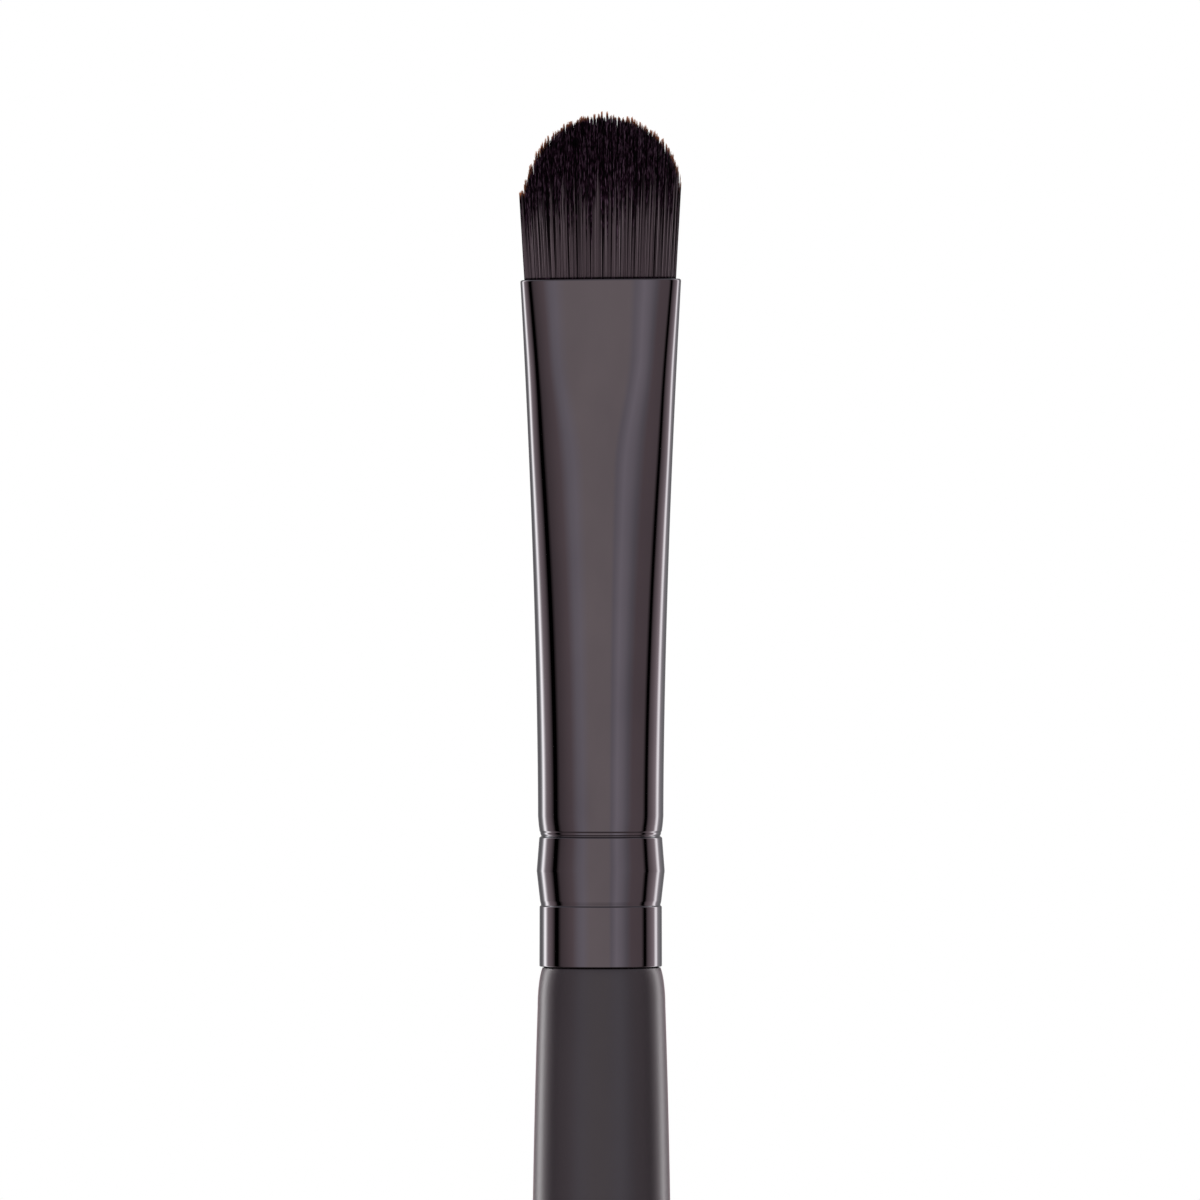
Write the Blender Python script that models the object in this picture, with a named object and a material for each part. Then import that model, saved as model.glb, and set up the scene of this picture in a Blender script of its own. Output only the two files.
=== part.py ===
"""Concealer brush, tip up: turned wooden handle, crimped metal ferrule and domed flat tuft.

Metres, +Z up. The origin is the centre of the handle's flat butt end, and the brush's axis is Z.
The ferrule is a round tube pressed oval at its mouth, so the tuft's broad faces look along -Y and +Y.
"""

import math
import random

import bmesh
import bpy
import numpy as np

# Clearances between pieces
SEAT_GAP = 0.0003
SHOULDER_GAP = 0.00015

# Handle: a turned wooden stick with a tenon that goes up into the ferrule
HANDLE_LENGTH = 0.1200
NECK_STEP = 0.00005
BELLY_RADIUS = 0.00442
BELLY_BELOW_SHOULDER = 0.0330
NECK_CURVE_EXPONENT = 2.4
BUTT_RADIUS = 0.00255
TAPER_CURVE_EXPONENT = 1.5
BUTT_ROUND_LENGTH = 0.0024
BUTT_FLAT_RADIUS = 0.0012
SHOULDER_ROUND_WIDTH = 0.00018
SHOULDER_ROUND_LENGTH = 0.0006
TENON_LENGTH = 0.0130
TENON_CHAMFER = 0.0006

# Ferrule: one drawn tube, swaged at its base, crimped twice and pressed oval towards its mouth
FERRULE_LENGTH = 0.0429
FERRULE_WALL = 0.0003
TUBE_RADIUS = 0.003875
BASE_SQUEEZE = 0.000075
BASE_EDGE_ROUND = 0.00006
LOWER_GROOVE_HEIGHT = 0.00378
UPPER_GROOVE_HEIGHT = 0.00819
GROOVE_WIDTH = 0.00042
GROOVE_FLOOR_WIDTH = 0.00014
GROOVE_DEPTH = 0.0001
BARREL_TUCK = 0.00005
BARREL_SWELL = 0.000085
CRIMP_SHOULDER_RISE = 0.0011
MOUTH_HALF_WIDTH = 0.0050
MOUTH_HALF_THICKNESS = 0.00252
MOUTH_LIP_ROUND = 0.00012
WIDENING_EXPONENT = 1.68
FLATTENING_EXPONENT = 2.0
PRESS_START_BELOW_MOUTH = 0.0119
PRESS_END_BELOW_MOUTH = 0.0044
PRESSED_HALF_WIDTH = 0.0020
PRESSED_CROWN_SHARE = 0.15

# Tuft: tapered filaments rooted in a slice of the resin that fills the ferrule under them
TUFT_LENGTH = 0.01045
LEFT_SHOULDER_DROP = 0.0058
RIGHT_SHOULDER_DROP = 0.0049
FACE_DROP = 0.0047
APEX_OFFSET = 0.0003
TUFT_HALF_WIDTH = 0.00504
TUFT_HALF_THICKNESS = 0.0019
TUFT_WIDEST_HEIGHT = 0.0052
ROOT_DEPTH = 0.0030
ROOT_SLICE_THICKNESS = 0.0012
ROOT_EDGE_MARGIN = 0.00005
ROOT_SINK = 0.0004
STRAND_RADIUS = 0.0001
STRAND_PITCH = 0.00027
STRAND_TAPER_LENGTH = 0.0024
STRAND_JITTER = 0.000012
GRID_SQUARENESS = 2.4
TIP_JITTER = 0.00028
TAPER_RING_SHARE = 0.85

# Resin below the roots, and the glue bead on the tenon's end
RESIN_LENGTH = 0.0090
RESIN_DISH = 0.0005
CEMENT_RIM_HEIGHT = 0.0016
CEMENT_DISH = 0.0008
CEMENT_DISH_SHARE = 0.55

# How finely the surfaces are drawn, as counts
OVAL_POINTS = 32
RIM_POINTS = 360
FLARE_RINGS = 10
NECK_RINGS = 6
TAPER_RINGS = 8
ROUND_RINGS = 4
STRAND_SIDES = 3
RANDOM_SEED = 7

FERRULE_BASE_Z = HANDLE_LENGTH + SHOULDER_GAP
MOUTH_Z = FERRULE_BASE_Z + FERRULE_LENGTH
BASE_RADIUS = TUBE_RADIUS - BASE_SQUEEZE
NECK_RADIUS = BASE_RADIUS + NECK_STEP
GROOVE_RADIUS = BASE_RADIUS - GROOVE_DEPTH
FLARE_START_HEIGHT = UPPER_GROOVE_HEIGHT + CRIMP_SHOULDER_RISE
TENON_RADIUS = BASE_RADIUS - FERRULE_WALL - SEAT_GAP
TENON_END_Z = FERRULE_BASE_Z + TENON_LENGTH


def material(name, colour, roughness, metallic):
    """A Principled material of one colour."""
    made = bpy.data.materials.new(name)
    made.use_nodes = True
    shader = made.node_tree.nodes["Principled BSDF"]
    shader.inputs["Base Color"].default_value = (*colour, 1.0)
    shader.inputs["Roughness"].default_value = roughness
    shader.inputs["Metallic"].default_value = metallic
    return made


def add_object(name, mesh, finish):
    """Links a mesh to the scene as a named piece, shaded smooth but for its sharp edges."""
    mesh.shade_smooth()
    mesh.set_sharp_from_angle(angle=math.radians(35))
    mesh.materials.append(finish)
    piece = bpy.data.objects.new(name, mesh)
    bpy.context.scene.collection.objects.link(piece)
    return piece


# The oval section, given as (half width, half thickness, pressed half width)

def oval_ring(z, section, inset=0.0, points=OVAL_POINTS):
    """The points of an oval at height z, moved in by inset all round.

    It is the sum of two ellipses: a round one, and a very flat one as wide as the part that is pressed
    flat. Each point is found from the direction that the surface faces there.
    """
    half_width, half_thickness, pressed = section
    crown = pressed * PRESSED_CROWN_SHARE
    ellipses = [(half_width - pressed, half_thickness - crown)]
    if pressed > 0:
        ellipses.append((pressed, crown))
    ring = []
    for step in range(points):
        turn = math.tau * (step + 0.5) / points
        outward = -inset
        sideways = 0.0
        for wide, deep in ellipses:
            reach = math.hypot(wide * math.cos(turn), deep * math.sin(turn))
            outward += reach
            sideways += (deep**2 - wide**2) * math.sin(turn) * math.cos(turn) / reach
        x = outward * math.cos(turn) - sideways * math.sin(turn)
        y = outward * math.sin(turn) + sideways * math.cos(turn)
        ring.append((x, y, z))
    return ring


def walk_rim(section, pitch):
    """Evenly spaced (x, y) points round an oval, about a pitch apart."""
    rim = np.array(oval_ring(0.0, section, points=RIM_POINTS))
    rim = np.concatenate((rim, rim[:1]))
    walked = np.concatenate(([0.0], np.cumsum(np.linalg.norm(np.diff(rim, axis=0), axis=1))))
    count = round(walked[-1] / pitch)
    stops = np.arange(count) * walked[-1] / count
    return list(zip(np.interp(stops, walked, rim[:, 0]), np.interp(stops, walked, rim[:, 1])))


def loft(rings, closed_on_itself=False):
    """A mesh through rings of equal length. Its two ends are capped, or joined to each other."""
    shell = bmesh.new()
    loops = [[shell.verts.new(point) for point in ring] for ring in rings]
    pairs = list(zip(loops, loops[1:]))
    if closed_on_itself:
        pairs.append((loops[-1], loops[0]))
    else:
        shell.faces.new(reversed(loops[0]))
        shell.faces.new(loops[-1])
    for lower, upper in pairs:
        for step, corner in enumerate(lower):
            after = (step + 1) % len(lower)
            shell.faces.new((corner, lower[after], upper[after], upper[step]))
    bmesh.ops.recalc_face_normals(shell, faces=shell.faces)
    mesh = bpy.data.meshes.new("loft")
    shell.to_mesh(mesh)
    shell.free()
    return mesh


def turned(name, profile, finish):
    """A solid of revolution from (radius, z) points that run down its outer side, from axis to axis."""
    outline = bpy.data.meshes.new(name)
    points = [(radius, 0.0, z) for radius, z in profile]
    outline.from_pydata(points, [(step, step + 1) for step in range(len(points) - 1)], [])
    piece = bpy.data.objects.new(name, outline)
    bpy.context.scene.collection.objects.link(piece)
    screw = piece.modifiers.new("Turn", "SCREW")
    screw.steps = OVAL_POINTS
    screw.render_steps = OVAL_POINTS
    screw.use_merge_vertices = True
    screw.merge_threshold = SEAT_GAP / 100
    screw.use_smooth_shade = True
    outline.materials.append(finish)
    return piece


# Ferrule

def flare(height):
    """The section of the ferrule's outside at a height over its base, above the crimps."""
    to_mouth = max(0.0, (height - FLARE_START_HEIGHT) / (FERRULE_LENGTH - FLARE_START_HEIGHT))
    half_width = TUBE_RADIUS + (MOUTH_HALF_WIDTH - TUBE_RADIUS) * to_mouth**WIDENING_EXPONENT
    flattening = to_mouth**FLATTENING_EXPONENT
    half_thickness = TUBE_RADIUS + (MOUTH_HALF_THICKNESS - TUBE_RADIUS) * flattening
    below_mouth = FERRULE_LENGTH - height
    share = (PRESS_START_BELOW_MOUTH - below_mouth) / (PRESS_START_BELOW_MOUTH - PRESS_END_BELOW_MOUTH)
    share = min(1.0, max(0.0, share))
    return half_width, half_thickness, PRESSED_HALF_WIDTH * share * share * (3 - 2 * share)


def groove_profile(middle, below, above):
    """(height over the base, radius) across one crimped groove, between the radii that meet it."""
    return [
        (middle - GROOVE_WIDTH / 2, below),
        (middle - GROOVE_FLOOR_WIDTH / 2, GROOVE_RADIUS),
        (middle + GROOVE_FLOOR_WIDTH / 2, GROOVE_RADIUS),
        (middle + GROOVE_WIDTH / 2, above),
    ]


def crimp_profile():
    """(height over the base, radius) of the ferrule's outside, from its base to above the upper crimp."""
    profile = [(0.0, BASE_RADIUS)]
    profile += groove_profile(LOWER_GROOVE_HEIGHT, BASE_RADIUS, BASE_RADIUS - BARREL_TUCK)
    profile.append(((LOWER_GROOVE_HEIGHT + UPPER_GROOVE_HEIGHT) / 2, TUBE_RADIUS + BARREL_SWELL))
    profile += groove_profile(UPPER_GROOVE_HEIGHT, BASE_RADIUS, BASE_RADIUS)
    profile.append((FLARE_START_HEIGHT, TUBE_RADIUS))
    return profile


def ferrule_stations():
    """(height over the base, section) of the ferrule's outside, from base to mouth."""
    stations = [(height, (radius, radius, 0.0)) for height, radius in crimp_profile()]
    for step in range(1, FLARE_RINGS + 1):
        height = FLARE_START_HEIGHT + (FERRULE_LENGTH - FLARE_START_HEIGHT) * step / FLARE_RINGS
        stations.append((height, flare(height)))
    return stations


def make_ferrule(finish):
    """The thin tube: up its outside, over the mouth's rounded lip and down its inside."""
    stations = ferrule_stations()
    base, mouth = stations[0][1], stations[-1][1]
    rings = [oval_ring(FERRULE_BASE_Z, base, BASE_EDGE_ROUND)]
    rings.append(oval_ring(FERRULE_BASE_Z + BASE_EDGE_ROUND, base))
    rings += [oval_ring(FERRULE_BASE_Z + height, section) for height, section in stations[1:-1]]
    rings.append(oval_ring(MOUTH_Z - MOUTH_LIP_ROUND, mouth))
    rings.append(oval_ring(MOUTH_Z, mouth, MOUTH_LIP_ROUND))
    for height, section in reversed(stations):
        rings.append(oval_ring(FERRULE_BASE_Z + height, section, FERRULE_WALL))
    return add_object("ferrule", loft(rings, closed_on_itself=True), finish)


# Handle and its glue

def quarter_round(start, end):
    """(radius, z) points of a quarter ellipse that leaves start level and reaches end upright."""
    points = []
    for step in range(1, ROUND_RINGS + 1):
        turn = math.pi / 2 * step / ROUND_RINGS
        radius = start[0] + (end[0] - start[0]) * math.sin(turn)
        points.append((radius, start[1] + (end[1] - start[1]) * (1 - math.cos(turn))))
    return points


def handle_radius(below_shoulder):
    """The handle's radius at a distance below its shoulder. It swells to the belly, then tapers."""
    if below_shoulder < BELLY_BELOW_SHOULDER:
        share = (1 - below_shoulder / BELLY_BELOW_SHOULDER) ** NECK_CURVE_EXPONENT
        return BELLY_RADIUS + (NECK_RADIUS - BELLY_RADIUS) * share
    tapering = HANDLE_LENGTH - BELLY_BELOW_SHOULDER
    share = ((below_shoulder - BELLY_BELOW_SHOULDER) / tapering) ** TAPER_CURVE_EXPONENT
    return BELLY_RADIUS + (BUTT_RADIUS - BELLY_RADIUS) * share


def tenon_profile():
    """(radius, z) points down the tenon, which the two crimps dent."""
    profile = [
        (0.0, TENON_END_Z),
        (TENON_RADIUS - TENON_CHAMFER, TENON_END_Z),
        (TENON_RADIUS, TENON_END_Z - TENON_CHAMFER),
    ]
    for groove in (UPPER_GROOVE_HEIGHT, LOWER_GROOVE_HEIGHT):
        for height, dent in (
            (groove + GROOVE_WIDTH, 0.0),
            (groove + GROOVE_WIDTH / 2, GROOVE_DEPTH),
            (groove - GROOVE_WIDTH / 2, GROOVE_DEPTH),
            (groove - GROOVE_WIDTH, 0.0),
        ):
            profile.append((TENON_RADIUS - dent, FERRULE_BASE_Z + height))
    profile.append((TENON_RADIUS, HANDLE_LENGTH))
    return profile


def make_handle(finish):
    """The turned stick, from the tenon's end down to the flat on its butt."""
    shoulder_radius = NECK_RADIUS - SHOULDER_ROUND_WIDTH
    profile = tenon_profile()
    profile.append((shoulder_radius, HANDLE_LENGTH))
    neck = (handle_radius(SHOULDER_ROUND_LENGTH), HANDLE_LENGTH - SHOULDER_ROUND_LENGTH)
    profile += quarter_round(profile[-1], neck)
    for step in range(1, NECK_RINGS + 1):
        below = SHOULDER_ROUND_LENGTH + (BELLY_BELOW_SHOULDER - SHOULDER_ROUND_LENGTH) * step / NECK_RINGS
        profile.append((handle_radius(below), HANDLE_LENGTH - below))
    straight = HANDLE_LENGTH - BELLY_BELOW_SHOULDER - BUTT_ROUND_LENGTH
    for step in range(1, TAPER_RINGS + 1):
        below = BELLY_BELOW_SHOULDER + straight * step / TAPER_RINGS
        profile.append((handle_radius(below), HANDLE_LENGTH - below))
    flat = (BUTT_FLAT_RADIUS, 0.0)
    profile += reversed(quarter_round(flat, profile[-1])[:-1])
    profile += [flat, (0.0, 0.0)]
    return turned("handle", profile, finish)


def make_handle_cement(finish):
    """The bead of glue that the tenon pushes ahead of it, dished on top where it creeps up the wall."""
    floor = TENON_END_Z + SEAT_GAP
    rim = floor + CEMENT_RIM_HEIGHT
    inset = FERRULE_WALL + SEAT_GAP
    lower = flare(floor - FERRULE_BASE_Z)
    upper = flare(rim - FERRULE_BASE_Z)
    dish = [side * CEMENT_DISH_SHARE for side in upper]
    rings = [
        oval_ring(floor, lower, inset),
        oval_ring(rim, upper, inset),
        oval_ring(rim - CEMENT_DISH, dish),
    ]
    return add_object("handle_cement", loft(rings), finish)


# Tuft and the resin below it

def make_root_resin(finish):
    """The cured resin under the roots, shaped by the ferrule's inside and dished below."""
    top = FERRULE_LENGTH - ROOT_DEPTH - ROOT_SLICE_THICKNESS - SEAT_GAP
    bottom = top - RESIN_LENGTH
    inset = FERRULE_WALL + SEAT_GAP
    dish = [side * CEMENT_DISH_SHARE for side in flare(bottom)]
    rings = [oval_ring(FERRULE_BASE_Z + bottom + RESIN_DISH, dish)]
    for height in (bottom, (bottom + top) / 2, top):
        rings.append(oval_ring(FERRULE_BASE_Z + height, flare(height), inset))
    return add_object("root_resin", loft(rings), finish)


def make_root_slice():
    """The slice of resin that the filaments are rooted in, as a mesh."""
    top = FERRULE_LENGTH - ROOT_DEPTH
    inset = FERRULE_WALL + SEAT_GAP
    rings = []
    for height in (top - ROOT_SLICE_THICKNESS, top):
        rings.append(oval_ring(FERRULE_BASE_Z + height, flare(height), inset))
    return loft(rings)


def root_field():
    """The oval that the roots' centres fill."""
    margin = FERRULE_WALL + SEAT_GAP + ROOT_EDGE_MARGIN + STRAND_RADIUS
    half_width, half_thickness, pressed = flare(FERRULE_LENGTH - ROOT_DEPTH)
    return half_width - margin, half_thickness - margin, pressed


def root_places():
    """Places of the strands' roots, as shares of the root field's half width and half thickness.

    One row follows the field's rim, and a triangular grid fills it up to a pitch away from that row.
    """
    half_width, half_thickness, pressed = root_field()
    inner_width = half_width - STRAND_PITCH
    inner_thickness = half_thickness - STRAND_PITCH
    row_pitch = STRAND_PITCH * math.sqrt(3) / 2
    rows = int(inner_thickness / row_pitch)
    columns = int(inner_width / STRAND_PITCH) + 1
    points = walk_rim((half_width, half_thickness, pressed), STRAND_PITCH)
    for row in range(-rows, rows + 1):
        for column in range(-columns, columns + 1):
            x = (column + (row % 2) / 2) * STRAND_PITCH
            y = row * row_pitch
            out = abs(x / inner_width) ** GRID_SQUARENESS + abs(y / inner_thickness) ** GRID_SQUARENESS
            if out < 1:
                points.append((x, y))
    chance = random.Random(RANDOM_SEED)
    places = []
    for x, y in points:
        x += chance.uniform(-STRAND_JITTER, STRAND_JITTER)
        y += chance.uniform(-STRAND_JITTER, STRAND_JITTER)
        places.append((x / half_width, y / half_thickness))
    return places


def tuft_field(above_mouth):
    """(half width, half thickness) that the strands' centres fill at a height above the mouth."""
    share = min(1.0, (above_mouth + ROOT_DEPTH) / (TUFT_WIDEST_HEIGHT + ROOT_DEPTH))
    field = []
    for root, full in zip(root_field(), (TUFT_HALF_WIDTH, TUFT_HALF_THICKNESS)):
        field.append(root + (full - STRAND_RADIUS - root) * share)
    return field


def tip_height(across, along):
    """How far above the mouth a filament ends, from its place as shares of the full field.

    The dome is an ellipsoid that is cut lower at its left side than at its right side and its faces.
    """
    x = across * TUFT_HALF_WIDTH - APEX_OFFSET
    side = TUFT_HALF_WIDTH + APEX_OFFSET if x < 0 else TUFT_HALF_WIDTH - APEX_OFFSET
    side_drop = LEFT_SHOULDER_DROP if x < 0 else RIGHT_SHOULDER_DROP
    outward = min(1.0, abs(x) / side)
    drop = FACE_DROP + (side_drop - FACE_DROP) * outward
    reach = min(1.0, outward**2 + along**2)
    return TUFT_LENGTH - drop * (1 - math.sqrt(1 - reach))


def strand_ring(shell, centre, z, radius, twist):
    """The corners of one cross-section of a strand."""
    corners = []
    for side in range(STRAND_SIDES):
        turn = twist + math.tau * side / STRAND_SIDES
        x = centre[0] + radius * math.cos(turn)
        y = centre[1] + radius * math.sin(turn)
        corners.append(shell.verts.new((x, y, z)))
    return corners


def add_strand(shell, across, along, chance):
    """One straight filament: sunk into the slice, then tapering to its point."""
    tip = tip_height(across, along) + chance.uniform(-TIP_JITTER, 0.0)
    twist = chance.uniform(0.0, math.tau)
    rings = []
    for height, radius in (
        (-ROOT_DEPTH - ROOT_SINK, STRAND_RADIUS),
        (tip - STRAND_TAPER_LENGTH, STRAND_RADIUS * TAPER_RING_SHARE),
    ):
        field = tuft_field(height)
        centre = (across * field[0], along * field[1])
        rings.append(strand_ring(shell, centre, MOUTH_Z + height, radius, twist))
    field = tuft_field(tip)
    point = shell.verts.new((across * field[0], along * field[1], MOUTH_Z + tip))
    shell.faces.new(reversed(rings[0]))
    for side in range(STRAND_SIDES):
        after = (side + 1) % STRAND_SIDES
        shell.faces.new((rings[0][side], rings[0][after], rings[1][after], rings[1][side]))
        shell.faces.new((rings[1][side], rings[1][after], point))


def make_bristle_tuft(finish):
    """All the filaments, fused by a Boolean union to the slice that holds their roots."""
    chance = random.Random(RANDOM_SEED)
    shell = bmesh.new()
    places = root_places()
    for across, along in places:
        add_strand(shell, across, along, chance)
    strands = bpy.data.meshes.new("strands")
    shell.to_mesh(strands)
    shell.free()
    helper = bpy.data.objects.new("strands_helper", strands)
    bpy.context.scene.collection.objects.link(helper)
    helper.hide_render = True
    helper.display_type = "WIRE"
    tuft = add_object("bristle_tuft", make_root_slice(), finish)
    union = tuft.modifiers.new("Root the strands", "BOOLEAN")
    union.operation = "UNION"
    union.object = helper
    print("strands:", len(places))
    return tuft


def main():
    for old in list(bpy.data.objects):
        bpy.data.objects.remove(old)
    lacquer = material("handle_lacquer", (0.058, 0.054, 0.057), 0.42, 0.0)
    metal = material("ferrule_metal", (0.105, 0.088, 0.095), 0.09, 1.0)
    filament = material("filament", (0.018, 0.014, 0.015), 0.45, 0.0)
    resin = material("resin", (0.42, 0.33, 0.19), 0.25, 0.0)
    glue = material("glue", (0.78, 0.74, 0.62), 0.4, 0.0)
    make_handle(lacquer)
    make_ferrule(metal)
    make_handle_cement(glue)
    make_root_resin(resin)
    make_bristle_tuft(filament)


main()
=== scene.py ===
"""Concealer brush, tip up: fine ferrule and handle, thousands of tapered filaments, and finishes.

Metres, +Z up, in the frame of the CAD model. The camera looks along +Y at a broad face of the tuft.
"""

import math

import bpy
import numpy as np
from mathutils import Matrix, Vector


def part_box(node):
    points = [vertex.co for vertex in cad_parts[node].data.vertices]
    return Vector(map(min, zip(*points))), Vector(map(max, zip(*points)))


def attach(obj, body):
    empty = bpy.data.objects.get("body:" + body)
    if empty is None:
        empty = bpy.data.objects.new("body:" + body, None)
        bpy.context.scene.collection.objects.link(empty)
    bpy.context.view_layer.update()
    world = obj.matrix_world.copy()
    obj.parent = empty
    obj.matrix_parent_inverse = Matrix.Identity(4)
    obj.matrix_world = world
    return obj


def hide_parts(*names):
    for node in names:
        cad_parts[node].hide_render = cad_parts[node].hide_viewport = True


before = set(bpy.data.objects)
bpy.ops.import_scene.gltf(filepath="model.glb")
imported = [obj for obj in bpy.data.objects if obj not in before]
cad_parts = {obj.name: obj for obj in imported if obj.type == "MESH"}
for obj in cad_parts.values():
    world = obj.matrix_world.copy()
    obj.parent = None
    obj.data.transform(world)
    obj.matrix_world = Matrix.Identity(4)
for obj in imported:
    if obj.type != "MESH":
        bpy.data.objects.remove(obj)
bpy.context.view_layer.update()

MM = 0.001

# Places and sizes taken from the frame
HANDLE_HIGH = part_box("handle")[1]
FERRULE_LOW, FERRULE_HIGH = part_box("ferrule")
BASE_Z = FERRULE_LOW.z
MOUTH_Z = FERRULE_HIGH.z
TENON_END_Z = HANDLE_HIGH.z
BELLY_RADIUS = HANDLE_HIGH.y

# Ferrule
FERRULE_WALL = 0.22 * MM
TUBE_RADIUS = 3.92 * MM
MOUTH_HALF_WIDTH = 5.03 * MM
MOUTH_HALF_THICKNESS = 2.52 * MM
PRESS_START_HEIGHT = 31.0 * MM
PRESS_END_HEIGHT = 38.5 * MM
PRESSED_HALF_WIDTH = 2.0 * MM
PRESSED_CROWN_SHARE = 0.15
FLARE_START_HEIGHT = 9.29 * MM
WIDENING_EXPONENT = 1.68
FLATTENING_EXPONENT = 2.0
LIP_ROUND = 0.13 * MM
RIM_RISE = 0.03 * MM
RIM_TILT = 0.05 * MM
RIM_TILT_LENGTH = 2.0 * MM
BASE_EDGE_ROUND = 0.07 * MM
PROFILE_SOFTNESS = 0.025 * MM
PROFILE_STEP = 0.01 * MM
PROFILE_MARGIN = 1.0 * MM
INNER_LIP = 0.04 * MM
GROOVE_HEIGHTS = (3.78 * MM, 8.26 * MM)
GROOVE_REACH = 0.6 * MM
BARREL_RANGE = (5.5 * MM, 6.4 * MM)
# Height over the base and radius, in millimetres, of the ferrule's crimped end
CRIMP_OUTLINE_MM = (
    (0.0, 3.83),
    (3.76, 3.82),
    (3.81, 3.72),
    (3.95, 3.755),
    (4.10, 3.79),
    (5.97, 4.00),
    (8.03, 3.84),
    (8.08, 3.82),
    (8.12, 3.715),
    (8.17, 3.705),
    (8.25, 3.76),
    (8.39, 3.775),
    (8.46, 3.82),
    (8.90, 3.88),
    (9.29, 3.91),
    (9.80, 3.92),
)

# Handle
SHOULDER_Z = BASE_Z - 0.07 * MM
SHOULDER_TOP_RADIUS = 3.68 * MM
SHOULDER_ROUND_LENGTH = 2.4 * MM
SHOULDER_ROUND_EXPONENT = 1.5
NECK_RADIUS = 3.91 * MM
HANDLE_OFFSET = 0.05 * MM
BELLY_BELOW_SHOULDER = 33 * MM
NECK_CURVE_EXPONENT = 2.4
BUTT_RADIUS = 2.55 * MM
TAPER_CURVE_EXPONENT = 1.5
BUTT_ROUND_LENGTH = 2.4 * MM
BUTT_FLAT_RADIUS = 1.2 * MM
TENON_FOOT_RADIUS = 3.58 * MM
TENON_RADIUS = 3.36 * MM
# How far up the tenon the gap under the ferrule is painted black as shade
GAP_SHADE_LENGTH = 2.0 * MM
FOOT_GAP = 0.02 * MM
TENON_CHAMFER = 0.6 * MM
# How far below the shoulder's end the black painted shade in the gap begins
GAP_SHADE_MARGIN = 0.01 * MM

# Tuft
TUFT_LENGTH = 10.47 * MM
LEFT_DOME_DROP = 6.65 * MM
RIGHT_DOME_DROP = 4.35 * MM
FRONT_DOME_DROP = 4.7 * MM
APEX_OFFSET = 0.16 * MM
ROOT_DEPTH = 2.6 * MM
FIELD_HALF_WIDTH = 4.717 * MM
FIELD_OFFSET = -0.034 * MM
FIELD_HALF_THICKNESS = 2.16 * MM
FIELD_SQUARENESS = 2.5
DOME_DEPTH_SHARE = 1.02
LEFT_SPLAY = 0.34 * MM
RIGHT_SPLAY = 0.28 * MM
THICKNESS_SPLAY = -0.1 * MM
SPLAY_HEIGHT = 5.2 * MM
FILAMENT_RADIUS = 0.0355 * MM
FILAMENT_PITCH = 0.074 * MM
PLACE_JITTER_SHARE = 0.12
FILAMENT_TAPER = 3.6 * MM
TAPER_EXPONENT = 0.8
TIP_RADIUS_SHARE = 0.25
RING_EXPONENT = 0.8
CLUMP_PITCH = 0.18 * MM
CLUMP_DEPTH = 0.7 * MM
CLUMP_JITTER_SHARE = 0.25
CLUMP_PULL_SHARE = 0.52
CLUMP_PULL_EXPONENT = 3
CLUMP_SCATTER = 0.13 * MM
CLUMP_POINT = 0.3 * MM
TIP_SCATTER = 0.1 * MM
LEAN = 0.02 * MM
SHORTEST_FILAMENT = 5.5 * MM
# Heights over the rim of the ring where the mouth's painted shadow is still full, and of the ring where
# it has faded out
SHADOW_HEIGHTS = (0.05 * MM, 0.14 * MM)
FRINGE_LENGTH = 0.24 * MM
FRINGE_DEPTH = 0.34 * MM
SLOPE_STEP = 0.05 * MM

# Shades of the filaments, from 0 to 1, and the heights over the mouth where they change
COLUMN_PITCH = 0.074 * MM
MEAN_LIGHTNESS = 0.58
COLUMN_SCATTER = 0.13
NEIGHBOUR_SHARE = 0.4
FILAMENT_SCATTER = 0.08
# Share of columns painted near black as shade in the gaps between bundles, and their lightness
SHADED_GAP_SHARE = 0.09
SHADED_GAP_LIGHTNESS = 0.05
LOWEST_CONTRAST = 0.7
CONTRAST_HEIGHT = 2.8 * MM
DIMMING = 0.09
DIMMING_HEIGHT = 3.0 * MM
STREAK_SHARE = 0.5
DARK_START_LEFT = 3.45 * MM
DARK_START_RIGHT = 4.2 * MM
DARK_BLEND = 1.2 * MM
COLUMN_DARK_SCATTER = 0.85 * MM
DARK_SCATTER = 0.35 * MM

# Camera: the picture's 1200 pixels span 75 mm at the brush's axis
PICTURE_SPAN = 75 * MM
PICTURE_CENTRE_Z = 143.05 * MM
PICTURE_CENTRE_X = -0.045 * MM
CAMERA_DISTANCE = 0.9
NEAREST_SIGHT = 0.05
SENSOR_WIDTH = 36.0

# How finely the surfaces are drawn, as counts
ROUND_POINTS = 192
TUBE_RINGS = 120
GROOVE_RINGS = 90
BARREL_RINGS = 16
EDGE_RINGS = 8
INSIDE_RING_STEP = 3
HEIGHT_DECIMALS = 7
HANDLE_ROUND_RINGS = 24
HANDLE_RINGS = 140
FILAMENT_SIDES = 5
FILAMENT_RINGS = 10
# Rings at each filament's foot that are painted black, as shadow at the mouth
MOUTH_SHADOW_RINGS = 2
DOME_PASSES = 3
TUFT_PARTS = 4
RANDOM_SEED = 12

# Finishes
FINE_BUMP = 0.02 * MM
COARSE_BUMP = 0.05 * MM
SHARP_ANGLE = math.radians(40)
BARE_WOOD_SLOT = 1
# Slot of the black painted shade in the gap under the ferrule
GAP_SHADE_SLOT = 2
UNIT_RANGE = (0.0, 1.0)


def new_material(name):
    """(material, node tree, Principled shader) of a new node material."""
    made = bpy.data.materials.new(name)
    made.use_nodes = True
    tree = made.node_tree
    return made, tree, tree.nodes["Principled BSDF"]


def node(tree, kind, **settings):
    """A new node with its properties set."""
    made = tree.nodes.new(kind)
    for key, value in settings.items():
        setattr(made, key, value)
    return made


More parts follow.
